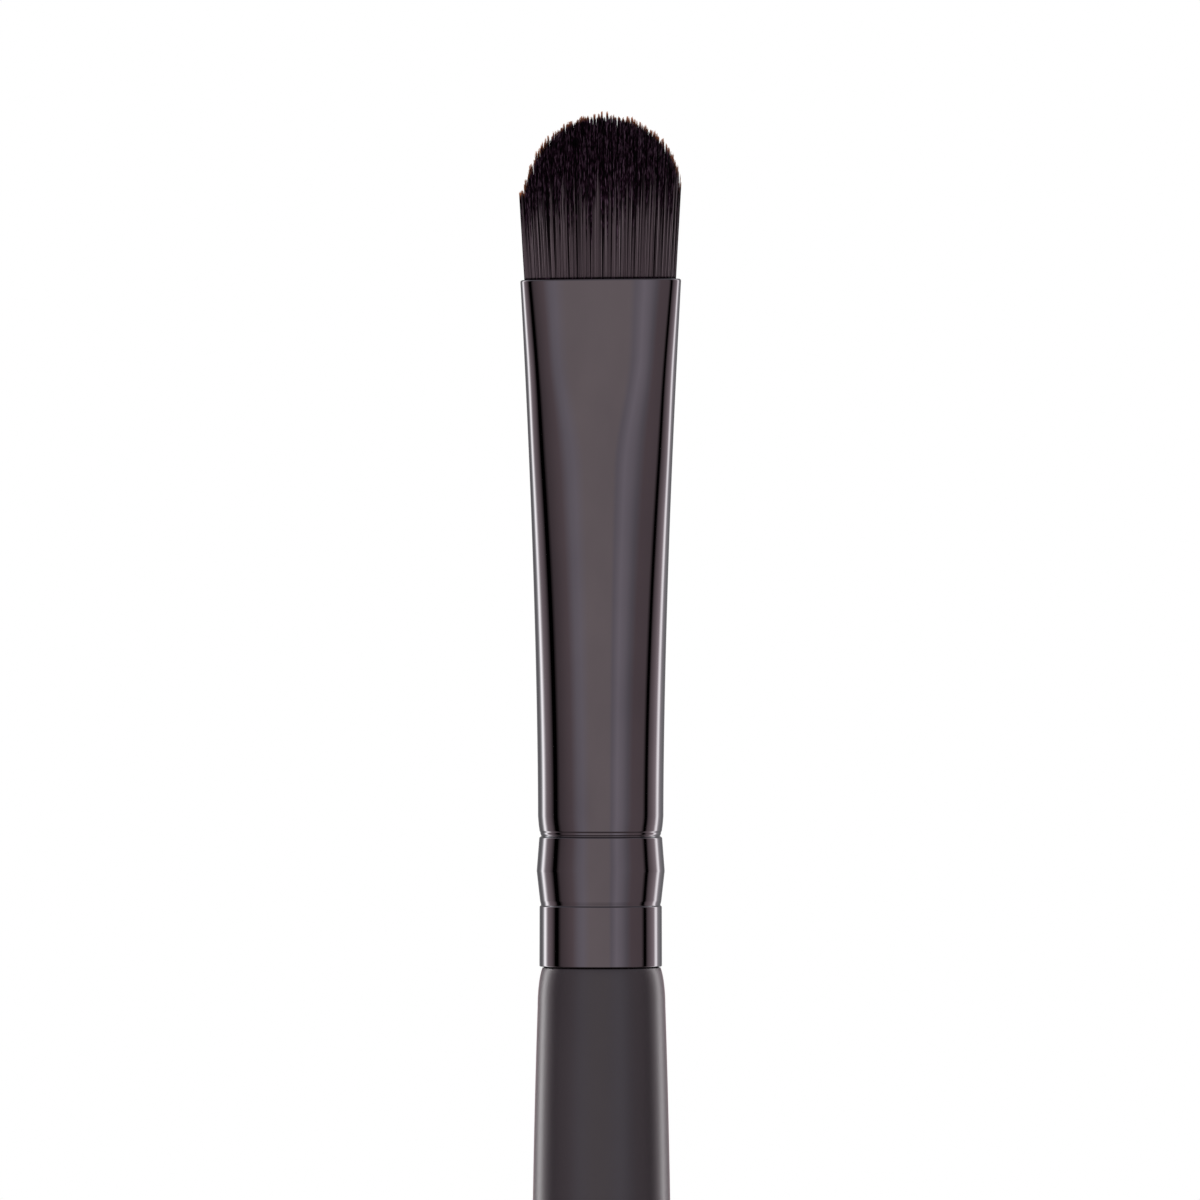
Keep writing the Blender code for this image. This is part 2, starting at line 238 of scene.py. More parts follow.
def feed(tree, socket, value):
    """Links a socket to another, or sets it to a number or a colour."""
    if isinstance(value, bpy.types.NodeSocket):
        tree.links.new(value, socket)
    else:
        socket.default_value = value


def math_node(tree, operation, first, second=0.0):
    """The output of a Math node fed by sockets or numbers."""
    made = node(tree, "ShaderNodeMath", operation=operation)
    feed(tree, made.inputs[0], first)
    feed(tree, made.inputs[1], second)
    return made.outputs[0]


def mix_node(tree, data_type, factor, first, second):
    """The output of a Mix node: the first where the factor is 0, the second where it is 1."""
    made = node(tree, "ShaderNodeMix", data_type=data_type)
    for key, value in (("Factor", factor), ("A", first), ("B", second)):
        feed(tree, made.inputs[key], value)
    return made.outputs["Result"]


def ramp_node(tree, factor, stops):
    """The colour output of a Color Ramp with (position, colour) stops."""
    made = node(tree, "ShaderNodeValToRGB")
    ramp = made.color_ramp
    while len(ramp.elements) > 1:
        ramp.elements.remove(ramp.elements[-1])
    ramp.elements[0].position = stops[0][0]
    ramp.elements[0].color = (*stops[0][1], 1.0)
    for position, colour in stops[1:]:
        ramp.elements.new(position).color = (*colour, 1.0)
    tree.links.new(factor, made.inputs["Fac"])
    return made.outputs["Color"]


def noise_node(tree, scale, stretch=(1.0, 1.0, 1.0), detail=2.0):
    """The value output of a Noise Texture in object coordinates, in metres times scale."""
    place = node(tree, "ShaderNodeTexCoord")
    mapping = node(tree, "ShaderNodeMapping")
    mapping.inputs["Scale"].default_value = stretch
    texture = node(tree, "ShaderNodeTexNoise")
    texture.inputs["Scale"].default_value = scale
    texture.inputs["Detail"].default_value = detail
    tree.links.new(place.outputs["Object"], mapping.inputs["Vector"])
    tree.links.new(mapping.outputs["Vector"], texture.inputs["Vector"])
    return texture.outputs["Fac"]


def map_node(tree, value, source_range, target_range, **settings):
    """A value mapped from one range to another."""
    made = node(tree, "ShaderNodeMapRange", **settings)
    keys = ("From Min", "From Max", "To Min", "To Max")
    for key, number in zip(keys, (*source_range, *target_range)):
        made.inputs[key].default_value = number
    tree.links.new(value, made.inputs["Value"])
    return made.outputs["Result"]


def add_bump(tree, shader, height, strength, distance):
    """Bumps the shader's normal by a height."""
    bump = node(tree, "ShaderNodeBump")
    bump.inputs["Strength"].default_value = strength
    bump.inputs["Distance"].default_value = distance
    tree.links.new(height, bump.inputs["Height"])
    tree.links.new(bump.outputs["Normal"], shader.inputs["Normal"])


def gunmetal():
    """Polished dark metal, faintly streaked along the tube by its drawing."""
    made, tree, shader = new_material("gunmetal")
    streaks = noise_node(tree, 900.0, (1.0, 1.0, 0.03), 3.0)
    clouds = noise_node(tree, 260.0, (1.0, 1.0, 0.5), 3.0)
    shades = ((0.3, (0.098, 0.08, 0.088)), (0.7, (0.112, 0.091, 0.099)))
    colour = ramp_node(tree, clouds, shades)
    tree.links.new(colour, shader.inputs["Base Color"])
    roughness = map_node(tree, streaks, UNIT_RANGE, (0.04, 0.08))
    tree.links.new(roughness, shader.inputs["Roughness"])
    shader.inputs["Metallic"].default_value = 1.0
    shader.inputs["Specular Tint"].default_value = (0.92, 1.0, 1.0, 1.0)
    add_bump(tree, shader, streaks, 0.03, FINE_BUMP)
    return made


def lacquer():
    """Soft matt charcoal lacquer with a trace of orange peel, and a faint rosy sheen at its edges."""
    made, tree, shader = new_material("charcoal_lacquer")
    clouds = noise_node(tree, 180.0, (1.0, 1.0, 0.4), 4.0)
    peel = noise_node(tree, 5200.0)
    shades = ((0.3, (0.023, 0.018, 0.0215)), (0.7, (0.030, 0.024, 0.0285)))
    colour = ramp_node(tree, clouds, shades)
    tree.links.new(colour, shader.inputs["Base Color"])
    roughness = map_node(tree, clouds, UNIT_RANGE, (0.28, 0.34))
    tree.links.new(roughness, shader.inputs["Roughness"])
    shader.inputs["IOR"].default_value = 1.47
    shader.inputs["Specular Tint"].default_value = (1.0, 0.9, 0.94, 1.0)
    shader.inputs["Sheen Weight"].default_value = 0.8
    shader.inputs["Sheen Roughness"].default_value = 0.2
    shader.inputs["Sheen Tint"].default_value = (1.0, 0.72, 0.78, 1.0)
    add_bump(tree, shader, peel, 0.06, FINE_BUMP)
    return made


def bare_wood():
    """The unpainted wood of the tenon, with grain along the stick."""
    made, tree, shader = new_material("bare_wood")
    grain = noise_node(tree, 1400.0, (1.0, 1.0, 0.05), 5.0)
    colour = ramp_node(tree, grain, ((0.3, (0.42, 0.27, 0.15)), (0.7, (0.62, 0.45, 0.28))))
    tree.links.new(colour, shader.inputs["Base Color"])
    shader.inputs["Roughness"].default_value = 0.7
    add_bump(tree, shader, grain, 0.3, COARSE_BUMP)
    return made


def painted_gap_shade():
    """Black painted shade on the shoulder's end and the tenon's foot, in the gap under the ferrule."""
    made, tree, shader = new_material("painted_gap_shade")
    grain = noise_node(tree, 1400.0, (1.0, 1.0, 0.05), 3.0)
    colour = ramp_node(tree, grain, ((0.3, (0.003, 0.002, 0.002)), (0.7, (0.005, 0.003, 0.004))))
    tree.links.new(colour, shader.inputs["Base Color"])
    shader.inputs["Roughness"].default_value = 0.9
    shader.inputs["Specular IOR Level"].default_value = 0.1
    return made


def potting(name, dark, light, roughness):
    """Cured adhesive with small bubbles."""
    made, tree, shader = new_material(name)
    bubbles = noise_node(tree, 2600.0, detail=3.0)
    colour = ramp_node(tree, bubbles, ((0.3, dark), (0.7, light)))
    tree.links.new(colour, shader.inputs["Base Color"])
    shader.inputs["Roughness"].default_value = roughness
    add_bump(tree, shader, bubbles, 0.2, COARSE_BUMP)
    return made


def filament():
    """Tapered nylon: brown-grey low down, partly painted sheen; near black above, with pale painted
    glints; brown at the outline, which is painted light shining through the points.
    """
    made, tree, shader = new_material("filament")
    fringe, shade, dark = (
        node(tree, "ShaderNodeAttribute", attribute_name=name).outputs["Fac"]
        for name in ("fringe", "shade", "dark")
    )
    # Pale flecks in the black: painted glints of light on the points.
    painted_glints = noise_node(tree, 11000.0, (1.0, 1.0, 0.2))
    painted_glints = map_node(tree, painted_glints, (0.39, 0.64), UNIT_RANGE)
    # The grey is partly painted sheen, in place of the reflection that the low specular level leaves
    # out.
    grey = ramp_node(tree, shade, (
        (0.0, (0.003, 0.001, 0.002)),
        (0.35, (0.05, 0.036, 0.043)),
        (0.6, (0.082, 0.059, 0.069)),
        (1.0, (0.17, 0.132, 0.15)),
    ))
    streaks = math_node(tree, "SUBTRACT", shade, MEAN_LIGHTNESS - DIMMING)
    streaks = math_node(tree, "MULTIPLY", streaks, STREAK_SHARE)
    # The black's paler, bluish stops are the painted glints.
    black = ramp_node(tree, math_node(tree, "ADD", painted_glints, streaks), (
        (0.15, (0.0003, 0.0, 0.0002)),
        (0.4, (0.004, 0.0, 0.0026)),
        (0.6, (0.014, 0.0035, 0.0105)),
        (0.8, (0.034, 0.0155, 0.029)),
        (1.0, (0.076, 0.044, 0.068)),
    ))
    # Brown at the outline's points: painted light shining through them from behind.
    tipped = mix_node(tree, "RGBA", fringe, black, (0.6, 0.22, 0.1, 1.0))
    tree.links.new(mix_node(tree, "RGBA", dark, grey, tipped), shader.inputs["Base Color"])
    roughness = map_node(tree, dark, UNIT_RANGE, (0.42, 0.5))
    tree.links.new(roughness, shader.inputs["Roughness"])
    shader.inputs["Specular IOR Level"].default_value = 0.04
    return made


def matt_floor():
    """Plain pale floor."""
    made, tree, shader = new_material("floor")
    clouds = noise_node(tree, 6.0)
    colour = ramp_node(tree, clouds, ((0.3, (0.86, 0.86, 0.86)), (0.7, (0.9, 0.9, 0.9))))
    tree.links.new(colour, shader.inputs["Base Color"])
    shader.inputs["Roughness"].default_value = 0.8
    return made


def ringed_mesh(name, rings, closed_on_itself=False):
    """A smooth mesh through rings, an array (rings, points, 3), capped unless it closes on itself."""
    count, around = rings.shape[:2]
    faces = []
    spans = count if closed_on_itself else count - 1
    for ring in range(spans):
        low = ring * around
        high = (ring + 1) % count * around
        for step in range(around):
            after = (step + 1) % around
            faces.append((low + step, low + after, high + after, high + step))
    if not closed_on_itself:
        faces.append(tuple(range(around))[::-1])
        faces.append(tuple(range((count - 1) * around, count * around)))
    mesh = bpy.data.meshes.new(name)
    mesh.from_pydata(rings.reshape(-1, 3).tolist(), [], faces)
    mesh.update()
    mesh.shade_smooth()
    return mesh


def add_piece(name, mesh, *materials):
    """Links a mesh to the scene as a named piece that rides on the brush's one body."""
    for finish in materials:
        mesh.materials.append(finish)
    piece = bpy.data.objects.new(name, mesh)
    bpy.context.scene.collection.objects.link(piece)
    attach(piece, "root")
    return piece


def smooth_step(share):
    """A share from 0 to 1, eased at both its ends."""
    return share * share * (3 - 2 * share)


# Ferrule

def oval_rings(heights, sections, insets):
    """Rings of an oval, one for each height.

    Each is the sum of two ellipses: a round one, and a very flat one as wide as the part that is
    pressed flat. Each point is found from the direction that the surface faces there.
    """
    half_widths, half_thicknesses, pressed = (side[:, None] for side in sections)
    turns = math.tau * (np.arange(ROUND_POINTS) + 0.5) / ROUND_POINTS
    crowns = pressed * PRESSED_CROWN_SHARE
    outward = -insets[:, None]
    sideways = 0.0
    for wide, deep in ((half_widths - pressed, half_thicknesses - crowns), (pressed, crowns)):
        reach = np.hypot(wide * np.cos(turns), deep * np.sin(turns))
        outward = outward + reach
        bend = (deep**2 - wide**2) * np.sin(turns) * np.cos(turns)
        sideways = sideways + np.divide(bend, reach, out=np.zeros_like(bend), where=reach > 0)
    x = outward * np.cos(turns) - sideways * np.sin(turns)
    y = outward * np.sin(turns) + sideways * np.cos(turns)
    z = np.broadcast_to(heights[:, None], x.shape)
    return np.stack((x, y, z), axis=-1)


def flare(heights):
    """(half widths, half thicknesses, pressed half widths) of the ferrule above its crimps."""
    to_mouth = (heights - FLARE_START_HEIGHT) / (MOUTH_Z - BASE_Z - FLARE_START_HEIGHT)
    to_mouth = np.clip(to_mouth, 0.0, 1.0)
    widening = to_mouth**WIDENING_EXPONENT
    flattening = to_mouth**FLATTENING_EXPONENT
    half_widths = TUBE_RADIUS + (MOUTH_HALF_WIDTH - TUBE_RADIUS) * widening
    half_thicknesses = TUBE_RADIUS + (MOUTH_HALF_THICKNESS - TUBE_RADIUS) * flattening
    share = np.clip((heights - PRESS_START_HEIGHT) / (PRESS_END_HEIGHT - PRESS_START_HEIGHT), 0.0, 1.0)
    return half_widths, half_thicknesses, PRESSED_HALF_WIDTH * smooth_step(share)


def crimp_radii(heights):
    """Radii of the ferrule's crimped end: its straight outline, softened as pressed metal is."""
    outline = np.array(CRIMP_OUTLINE_MM) * MM
    fine = np.arange(-PROFILE_MARGIN, outline[-1, 0] + PROFILE_MARGIN, PROFILE_STEP)
    radii = np.interp(fine, outline[:, 0], outline[:, 1])
    reach = np.arange(-3 * PROFILE_SOFTNESS, 3 * PROFILE_SOFTNESS, PROFILE_STEP)
    kernel = np.exp(-((reach / PROFILE_SOFTNESS) ** 2) / 2)
    soft = np.convolve(radii, kernel / kernel.sum(), mode="same")
    return np.interp(heights, fine, soft)


def outer_heights():
    """Heights of the ferrule's rings: close together at the grooves, wider between them."""
    length = MOUTH_Z - BASE_Z - LIP_ROUND
    heights = [np.linspace(BASE_EDGE_ROUND, length, TUBE_RINGS)]
    for groove in GROOVE_HEIGHTS:
        heights.append(np.linspace(groove - GROOVE_REACH, groove + GROOVE_REACH, GROOVE_RINGS))
    heights.append(np.linspace(*BARREL_RANGE, BARREL_RINGS))
    return np.unique(np.round(np.concatenate(heights), HEIGHT_DECIMALS))


def outside(heights):
    """(half widths, half thicknesses, pressed half widths) of the whole outside of the ferrule."""
    half_widths, half_thicknesses, pressed = flare(heights)
    bend = np.where(heights < FLARE_START_HEIGHT, crimp_radii(heights) - TUBE_RADIUS, 0.0)
    return half_widths + bend, half_thicknesses + bend, pressed


def rim_rise(x):
    """How far the rim stands above the frame's, from left to right: its cut isn't quite square."""
    return RIM_RISE + RIM_TILT * x / MOUTH_HALF_WIDTH


def make_ferrule():
    """The thin tube: up its outside, over its rounded lip and down its inside."""
    length = MOUTH_Z - BASE_Z
    heights = outer_heights()
    turn = np.linspace(0.0, math.pi / 2, EDGE_RINGS)[1:]
    lip_heights = length - LIP_ROUND * (1 - np.sin(turn))
    lip_insets = LIP_ROUND * (1 - np.cos(turn))
    inside = heights[::-INSIDE_RING_STEP]
    inner_heights = np.concatenate(([length, length - INNER_LIP], inside, [0.0]))
    inner_insets = np.full(len(inner_heights), FERRULE_WALL)
    inner_insets[0] -= INNER_LIP
    base_heights = BASE_EDGE_ROUND * (1 - np.cos(turn))
    base_insets = BASE_EDGE_ROUND * (1 - np.sin(turn))
    all_heights = np.concatenate((base_heights, heights[1:], lip_heights, inner_heights))
    insets = np.concatenate((base_insets, np.zeros(len(heights) - 1), lip_insets, inner_insets))
    rings = oval_rings(BASE_Z + all_heights, outside(all_heights), insets)
    near_mouth = np.clip(1 - (length - all_heights) / RIM_TILT_LENGTH, 0.0, 1.0)[:, None]
    rings[:, :, 2] += near_mouth * rim_rise(rings[:, :, 0])
    mesh = ringed_mesh("ferrule_shell", rings, closed_on_itself=True)
    piece = add_piece("ferrule_shell", mesh, gunmetal())
    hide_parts("ferrule")


# Handle

def handle_radii(below_shoulder):
    """Radii of the handle below its shoulder, where it swells to the belly and tapers to the butt."""
    neck = np.clip(1 - below_shoulder / BELLY_BELOW_SHOULDER, 0.0, 1.0) ** NECK_CURVE_EXPONENT
    tapering = SHOULDER_Z - BELLY_BELOW_SHOULDER
    butt = np.clip((below_shoulder - BELLY_BELOW_SHOULDER) / tapering, 0.0, 1.0) ** TAPER_CURVE_EXPONENT
    return BELLY_RADIUS + (NECK_RADIUS - BELLY_RADIUS) * neck + (BUTT_RADIUS - BELLY_RADIUS) * butt


def handle_profile():
    """(radii, heights) up the handle, from the flat on its butt to the tenon's end."""
    turn = np.linspace(0.0, math.pi / 2, HANDLE_ROUND_RINGS)
    butt_edge = handle_radii(SHOULDER_Z - BUTT_ROUND_LENGTH)
    radii = [BUTT_FLAT_RADIUS + (butt_edge - BUTT_FLAT_RADIUS) * np.sin(turn)]
    heights = [BUTT_ROUND_LENGTH * (1 - np.cos(turn))]
    shoulder_start = SHOULDER_Z - SHOULDER_ROUND_LENGTH
    straight = np.linspace(BUTT_ROUND_LENGTH, shoulder_start, HANDLE_RINGS)[1:]
    radii.append(handle_radii(SHOULDER_Z - straight))
    heights.append(straight)
    neck = radii[-1][-1]
    turn = turn[::-1][1:]
    rounding = np.sin(turn) ** SHOULDER_ROUND_EXPONENT
    radii.append(SHOULDER_TOP_RADIUS + (neck - SHOULDER_TOP_RADIUS) * rounding)
    heights.append(SHOULDER_Z - SHOULDER_ROUND_LENGTH * (1 - np.cos(turn)))
    radii.append([TENON_FOOT_RADIUS, TENON_FOOT_RADIUS, TENON_RADIUS])
    heights.append([SHOULDER_Z, BASE_Z - FOOT_GAP, BASE_Z])
    radii.append([TENON_RADIUS, TENON_RADIUS, TENON_RADIUS - TENON_CHAMFER])
    heights.append([BASE_Z + GAP_SHADE_LENGTH, TENON_END_Z - TENON_CHAMFER, TENON_END_Z])
    return np.concatenate(radii), np.concatenate(heights)


def make_handle():
    """The lacquered stick, with bare wood on the tenon and black painted shade on its foot and the
    shoulder's end.
    """
    radii, heights = handle_profile()
    turns = math.tau * np.arange(ROUND_POINTS) / ROUND_POINTS
    x = HANDLE_OFFSET + radii[:, None] * np.cos(turns)
    y = radii[:, None] * np.sin(turns)
    z = np.broadcast_to(heights[:, None], x.shape)
    mesh = ringed_mesh("handle_stick", np.stack((x, y, z), axis=-1))
    piece = add_piece("handle_stick", mesh, lacquer(), bare_wood(), painted_gap_shade())
    # Faces above the gap are bare wood; faces in the gap under the ferrule get black painted shade.
    for face in mesh.polygons:
        if face.center.z > BASE_Z + GAP_SHADE_LENGTH:
            face.material_index = BARE_WOOD_SLOT
        elif face.center.z > SHOULDER_Z - GAP_SHADE_MARGIN:
            face.material_index = GAP_SHADE_SLOT
    mesh.set_sharp_from_angle(angle=SHARP_ANGLE)
    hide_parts("handle")


# Tuft

def root_places(chance):
    """Filament places in the oval field, in metres at the mouth, on a jittered triangular grid."""
    half_width, half_thickness = FIELD_HALF_WIDTH, FIELD_HALF_THICKNESS
    row_pitch = FILAMENT_PITCH * math.sqrt(3) / 2
    rows = int(half_thickness / row_pitch)
    places = []
    for row in range(-rows, rows + 1):
        y = row * row_pitch
        reach = half_width * (1 - abs(y / half_thickness) ** FIELD_SQUARENESS) ** (1 / FIELD_SQUARENESS)
        x = np.arange(-reach, reach, FILAMENT_PITCH)
        x += (2 * reach - (x[-1] - x[0])) / 2
        places.append(np.stack((x, np.full(len(x), y)), axis=-1))
    places = np.concatenate(places)
    return places + chance.normal(0.0, FILAMENT_PITCH * PLACE_JITTER_SHARE, places.shape)


def dome(x, y):
    """How far above the mouth filaments end: an ellipsoid that falls further on its left side."""
    left = x < APEX_OFFSET
    half_width = FIELD_HALF_WIDTH + FILAMENT_RADIUS
    left_reach = LEFT_SPLAY - FIELD_OFFSET + APEX_OFFSET
    right_reach = RIGHT_SPLAY + FIELD_OFFSET - APEX_OFFSET
    reach = half_width + np.where(left, left_reach, right_reach)
    across = (x - APEX_OFFSET) / reach
    side_drop = np.where(left, LEFT_DOME_DROP, RIGHT_DOME_DROP)
    drop = FRONT_DOME_DROP + (side_drop - FRONT_DOME_DROP) * np.clip(np.abs(across), 0.0, 1.0)
    along = y / (FIELD_HALF_THICKNESS * DOME_DEPTH_SHARE)
    out = np.clip(across**2 + along**2, 0.0, 1.0)
    return TUFT_LENGTH - drop * (1 - np.sqrt(1 - out))


def splay(places, heights):
    """(x, y) of filaments from their places at the mouth, at heights above it."""
    side = np.where(places[:, 0] < 0, LEFT_SPLAY, RIGHT_SPLAY) / FIELD_HALF_WIDTH
    rise = heights / SPLAY_HEIGHT
    x = FIELD_OFFSET + places[:, :1] * (1 + side[:, None] * rise)
    y = places[:, 1:] * (1 + THICKNESS_SPLAY / FIELD_HALF_THICKNESS * rise)
    return x, y


def clumps(places, chance):
    """(offset to its clump's middle, change of height) of each filament's tip; clumps are pointed."""
    pitch = np.array((CLUMP_PITCH, CLUMP_DEPTH))
    counts = (np.array((FIELD_HALF_WIDTH, FIELD_HALF_THICKNESS)) / pitch).astype(int) + 1
    columns, rows = np.meshgrid(*(np.arange(-reach, reach + 1) for reach in counts))
    grid = np.stack((columns + (rows % 2) / 2, rows), axis=-1).reshape(-1, 2)
    jitter = chance.uniform(-CLUMP_JITTER_SHARE, CLUMP_JITTER_SHARE, grid.shape)
    middles = (grid + jitter) * pitch
    away = (((places[:, None, :] - middles[None, :, :]) / pitch) ** 2).sum(axis=-1)
    nearest = away.argmin(axis=1)
    pull = (middles[nearest] - places) * CLUMP_PULL_SHARE
    height = chance.normal(0.0, CLUMP_SCATTER, len(middles))[nearest]
    short = np.abs(chance.normal(0.0, TIP_SCATTER, len(places)))
    height -= CLUMP_POINT * np.sqrt(away.min(axis=1)) + short
    return pull, height


def filament_paths(chance):
    """(places, centres, radii, distances to the tip) of every filament's rings."""
    places = root_places(chance)
    pull, height = clumps(places, chance)
    tips = np.full(len(places), TUFT_LENGTH)
    for _ in range(DOME_PASSES):
        x, y = splay(places, tips[:, None])
        tips = np.maximum(dome(x[:, 0], y[:, 0]), SHORTEST_FILAMENT)
    tips += height
    roots = np.full((len(tips), 1), -ROOT_DEPTH)
    rim = rim_rise(places[:, :1])
    upper_rings = FILAMENT_RINGS - 2 - len(SHADOW_HEIGHTS)
    ring_shares = np.linspace(0.0, 1.0, upper_rings + 1)[1:] ** RING_EXPONENT
    upper = (tips[:, None] - FRINGE_LENGTH) * ring_shares
    heights = np.concatenate((roots, rim + SHADOW_HEIGHTS, upper, tips[:, None]), axis=1)
    x, y = splay(places, heights)
    rise = np.clip(heights / tips[:, None], 0.0, 1.0)
    lean = chance.normal(0.0, LEAN, (len(tips), 2))
    x += pull[:, :1] * rise**CLUMP_PULL_EXPONENT + lean[:, :1] * rise
    y += pull[:, 1:] * rise**CLUMP_PULL_EXPONENT + lean[:, 1:] * rise
    to_tip = tips[:, None] - heights
    thick = np.clip(to_tip / FILAMENT_TAPER, 0.0, 1.0) ** TAPER_EXPONENT
    radii = FILAMENT_RADIUS * (TIP_RADIUS_SHARE + (1 - TIP_RADIUS_SHARE) * thick)
    return places, np.stack((x, y, MOUTH_Z + heights), axis=-1), radii, to_tip


def filament_mesh(name, centres, radii, values):
    """One mesh of many tapered tubes, with the named values that colour them at each ring."""
    count, rings = radii.shape
    turns = math.tau * np.arange(FILAMENT_SIDES) / FILAMENT_SIDES
    ring = np.stack((np.cos(turns), np.sin(turns), np.zeros(FILAMENT_SIDES)), axis=-1)
    points = centres[:, :, None, :] + radii[:, :, None, None] * ring
    first = np.arange(count)[:, None, None] * rings * FILAMENT_SIDES
    low = first + np.arange(rings - 1)[:, None] * FILAMENT_SIDES
    step = np.arange(FILAMENT_SIDES)
    after = (step + 1) % FILAMENT_SIDES
    high = low + FILAMENT_SIDES
    quads = np.stack((low + step, low + after, high + after, high + step), axis=-1).reshape(-1, 4)
    top = first[:, 0, 0, None] + (rings - 1) * FILAMENT_SIDES + step
    bottom = first[:, 0, 0, None] + step[::-1]
    faces = quads.tolist() + top.tolist() + bottom.tolist()
    mesh = bpy.data.meshes.new(name)
    mesh.from_pydata(points.reshape(-1, 3).tolist(), [], faces)
    for key, value in values.items():
        attribute = mesh.attributes.new(key, "FLOAT", "POINT")
        numbers = np.repeat(value.ravel(), FILAMENT_SIDES).astype(np.float32)
        attribute.data.foreach_set("value", numbers)
    mesh.shade_smooth()
    return mesh


def column_values(places, chance):
    """(lightness, shift of the height where the black starts) of each filament, alike in a column."""
    column = ((places[:, 0] + FIELD_HALF_WIDTH) / COLUMN_PITCH).astype(int)
    count = column.max() + 1
    drawn = chance.normal(0.0, COLUMN_SCATTER, count + 2)
    lightness = MEAN_LIGHTNESS + drawn[1:-1] - (drawn[:-2] + drawn[2:]) * NEIGHBOUR_SHARE
    # Some columns are painted near black, as shade in the gaps between bundles.
    lightness[chance.random(count) < SHADED_GAP_SHARE] = SHADED_GAP_LIGHTNESS
    starts = chance.normal(0.0, COLUMN_DARK_SCATTER, count)
    shades = lightness[column] + chance.normal(0.0, FILAMENT_SCATTER, len(column))
    return shades, starts[column] + chance.normal(0.0, DARK_SCATTER, len(column))


def strengthened(shades, centres):
    """The lightness at each ring: the lines stand out more the higher they are above the mouth,
    as painted shade in the gaps between clumps.
    """
    height = np.clip(centres[:, :, 2] - MOUTH_Z, 0.0, None)
    contrast = LOWEST_CONTRAST + height / CONTRAST_HEIGHT
    mean = MEAN_LIGHTNESS - DIMMING * np.clip(height / DIMMING_HEIGHT, 0.0, 1.0)
    lightness = np.clip(mean + (shades[:, None] - MEAN_LIGHTNESS) * contrast, 0.0, 1.0)
    # The rings at the mouth get no lightness: painted shadow.
    lightness[:, :MOUTH_SHADOW_RINGS] = 0.0
    return lightness


def darkening(centres, scatter):
    """How black each ring is, from 0 to 1: towards the points, and in the shadow of the mouth."""
    right = np.clip(0.5 + centres[:, :, 0] / (2 * FIELD_HALF_WIDTH), 0.0, 1.0)
    start = DARK_START_LEFT + (DARK_START_RIGHT - DARK_START_LEFT) * right + scatter[:, None]
    rise = np.clip((centres[:, :, 2] - MOUTH_Z - start) / DARK_BLEND, 0.0, 1.0)
    dark = smooth_step(rise)
    # The rings at the mouth are fully black: painted shadow.
    dark[:, :MOUTH_SHADOW_RINGS] = 1.0
    return dark


def fringing(centres, to_tip):
    """How brown the filaments are, from 0 to 1: only the points that stand up at the tuft's outline,
    as painted light shining through them from behind.
    """
    x = centres[:, -1, 0]
    slope = (dome(x + SLOPE_STEP, 0.0) - dome(x - SLOPE_STEP, 0.0)) / (2 * SLOPE_STEP)
    below = dome(x, 0.0) + MOUTH_Z - centres[:, -1, 2]
    near = np.clip(1 - below / np.hypot(1.0, slope) / FRINGE_DEPTH, 0.0, 1.0)
    return near[:, None] * np.clip(1 - to_tip / FRINGE_LENGTH, 0.0, 1.0)


def make_tuft():
    """All the filaments, in a few pieces from left to right."""
    chance = np.random.default_rng(RANDOM_SEED)
    places, centres, radii, to_tip = filament_paths(chance)
    shades, scatter = column_values(places, chance)
    values = {
        "fringe": fringing(centres, to_tip),
        "shade": strengthened(shades, centres),
        "dark": darkening(centres, scatter),
    }
    finish = filament()
    order = np.argsort(places[:, 0], kind="stable")
    for part, chosen in enumerate(np.array_split(order, TUFT_PARTS)):
        name = f"filaments_{part + 1}"
        own_values = {key: value[chosen] for key, value in values.items()}
        mesh = filament_mesh(name, centres[chosen], radii[chosen], own_values)
        piece = add_piece(name, mesh, finish)
        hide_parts("bristle_tuft")


# Studio

# Tints of the studio's panels, as red, green and blue
PLAIN = (1.0, 1.0, 1.0)
COOL = (0.95, 1.0, 1.1)
ROSY = (1.05, 0.95, 1.0)
# Degrees round from the camera's side, and the brightness and tint of the panel that metal sees there
LEFT_PANELS = (
    (0, 1.0, PLAIN),
    (20, 1.0, PLAIN),
    (33, 1.05, COOL),
    (42, 0.95, COOL),
    (55, 0.6, ROSY),
    (80, 0.35, ROSY),
    (88, 0.0, PLAIN),
    (96, 0.0, PLAIN),
    (105, 0.6, ROSY),
    (118, 1.1, ROSY),
    (122, 2.0, PLAIN),
    (127, 5.0, PLAIN),
    (131, 6.0, PLAIN),
    (135, 3.0, PLAIN),
    (140, 0.8, ROSY),
    (150, 0.3, ROSY),
    (180, 0.25, ROSY),
)
RIGHT_PANELS = (
    (0, 1.0, PLAIN),
    (15, 1.0, PLAIN),
    (20, 0.9, COOL),
    (30, 1.2, COOL),
    (40, 1.0, COOL),
    (50, 0.7, COOL),
    (60, 0.55, ROSY),
    (83, 0.5, ROSY),
    (90, 0.0, PLAIN),
    (95, 0.0, PLAIN),
    (100, 0.5, ROSY),
    (110, 0.9, ROSY),
    (120, 1.4, ROSY),
    (126, 4.5, PLAIN),
    (130, 5.0, PLAIN),
    (135, 1.7, ROSY),
    (140, 0.8, ROSY),
    (155, 0.3, ROSY),
    (180, 0.3, ROSY),
)
# Panels steeply above and below, from straight down at 0 to straight up at 1
ROOF_PANELS = (
    (0.0, 0.3, ROSY),
    (0.3, 0.2, ROSY),
    (0.7, 0.6, COOL),
    (1.0, 0.6, COOL),
)
HALF_TURN = 180
ROOF_RANGE = (0.35, 0.7)
BRIGHTEST = 8.0
AMBIENT_LIGHT = 0.6
WHITE = (1.0, 1.0, 1.0, 1.0)
LAMP_SIZE = 0.6
LAMP_POWER = 4.5
LAMP_PLACE = (-0.45, -0.75, 0.75)
FLOOR_REACH = 1.2


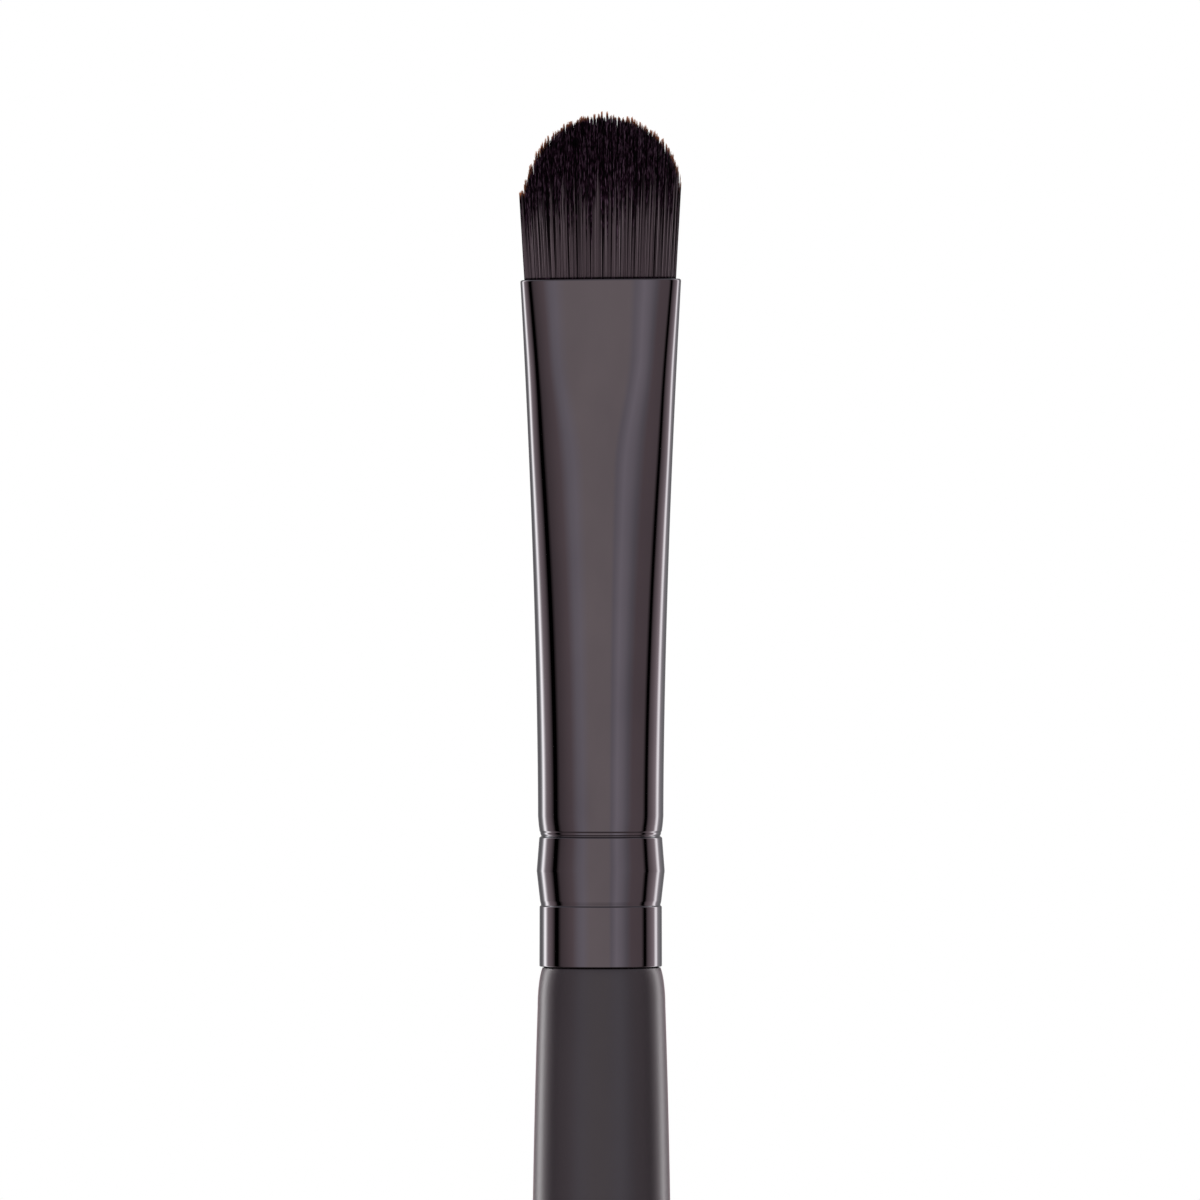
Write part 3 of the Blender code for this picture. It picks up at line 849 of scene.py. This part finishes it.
def panel_ramp(tree, factor, panels, span):
    """The light of panels that are placed along a span, as a share of the brightest."""
    stops = []
    for place, brightness, tint in panels:
        stops.append((place / span, [brightness * level / BRIGHTEST for level in tint]))
    return ramp_node(tree, factor, stops)


def make_world():
    """White to the camera, plain to matt surfaces, and a tent of panels to shiny ones."""
    world = bpy.data.worlds.new("studio")
    bpy.context.scene.world = world
    world.use_nodes = True
    world.cycles.sampling_method = "NONE"
    tree = world.node_tree
    background = tree.nodes["Background"]
    direction = node(tree, "ShaderNodeSeparateXYZ")
    tree.links.new(node(tree, "ShaderNodeTexCoord").outputs["Generated"], direction.inputs[0])
    sideways = math_node(tree, "ABSOLUTE", direction.outputs["X"])
    forward = math_node(tree, "MULTIPLY", direction.outputs["Y"], -1.0)
    turn = math_node(tree, "ARCTAN2", sideways, forward)
    share = math_node(tree, "DIVIDE", turn, math.pi)
    left = panel_ramp(tree, share, LEFT_PANELS, HALF_TURN)
    right = panel_ramp(tree, share, RIGHT_PANELS, HALF_TURN)
    on_right = math_node(tree, "GREATER_THAN", direction.outputs["X"], 0.0)
    panels = mix_node(tree, "RGBA", on_right, left, right)
    steep = math_node(tree, "ABSOLUTE", direction.outputs["Z"])
    steep = map_node(tree, steep, ROOF_RANGE, UNIT_RANGE, interpolation_type="SMOOTHSTEP")
    upward = map_node(tree, direction.outputs["Z"], (-1.0, 1.0), UNIT_RANGE)
    roof = panel_ramp(tree, upward, ROOF_PANELS, 1.0)
    tent = mix_node(tree, "RGBA", steep, panels, roof)
    path = node(tree, "ShaderNodeLightPath")
    glossy = path.outputs["Is Glossy Ray"]
    tree.links.new(mix_node(tree, "RGBA", glossy, WHITE, tent), background.inputs["Color"])
    seen = (path.outputs["Is Camera Ray"], path.outputs["Is Transmission Ray"])
    level = mix_node(tree, "FLOAT", math_node(tree, "MAXIMUM", *seen), AMBIENT_LIGHT, 1.0)
    level = mix_node(tree, "FLOAT", glossy, level, BRIGHTEST)
    tree.links.new(level, background.inputs["Strength"])


def make_lamp():
    """One big soft lamp from the upper left, which the metal doesn't mirror."""
    data = bpy.data.lights.new("key", "AREA")
    data.shape = "DISK"
    data.size = LAMP_SIZE
    data.energy = LAMP_POWER
    lamp = bpy.data.objects.new("key", data)
    bpy.context.scene.collection.objects.link(lamp)
    lamp.location = LAMP_PLACE
    aim = np.array((0.0, 0.0, PICTURE_CENTRE_Z)) - np.array(LAMP_PLACE)
    lamp.rotation_mode = "QUATERNION"
    lamp.rotation_quaternion = Vector(aim).to_track_quat("-Z", "Y")
    lamp.visible_glossy = False


def make_floor():
    """A pale floor under the butt."""
    mesh = bpy.data.meshes.new("floor")
    signs = ((-1, -1), (1, -1), (1, 1), (-1, 1))
    corners = [(FLOOR_REACH * side, FLOOR_REACH * depth, 0.0) for side, depth in signs]
    mesh.from_pydata(corners, [], [(0, 1, 2, 3)])
    mesh.materials.append(matt_floor())
    floor = bpy.data.objects.new("floor", mesh)
    bpy.context.scene.collection.objects.link(floor)
    floor.visible_glossy = False


def make_camera():
    """Level with the middle of the picture, square to the broad face."""
    data = bpy.data.cameras.new("camera")
    data.sensor_width = SENSOR_WIDTH
    data.lens = SENSOR_WIDTH * CAMERA_DISTANCE / PICTURE_SPAN
    data.clip_start = NEAREST_SIGHT
    camera = bpy.data.objects.new("camera", data)
    bpy.context.scene.collection.objects.link(camera)
    camera.location = (PICTURE_CENTRE_X, -CAMERA_DISTANCE, PICTURE_CENTRE_Z)
    camera.rotation_euler = (math.pi / 2, 0.0, 0.0)
    bpy.context.scene.camera = camera


def finish_cad_node(name, finish):
    """Gives a CAD node that stays its finish."""
    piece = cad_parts[name]
    piece.data.materials.clear()
    piece.data.materials.append(finish)


make_camera()
make_world()
make_lamp()
make_floor()
make_ferrule()
make_handle()
make_tuft()
amber_resin = potting("amber_resin", (0.32, 0.23, 0.12), (0.48, 0.37, 0.22), 0.25)
cream_glue = potting("cream_glue", (0.66, 0.6, 0.46), (0.8, 0.76, 0.64), 0.4)
finish_cad_node("root_resin", amber_resin)
finish_cad_node("handle_cement", cream_glue)
bpy.context.scene.view_settings.view_transform = "Standard"
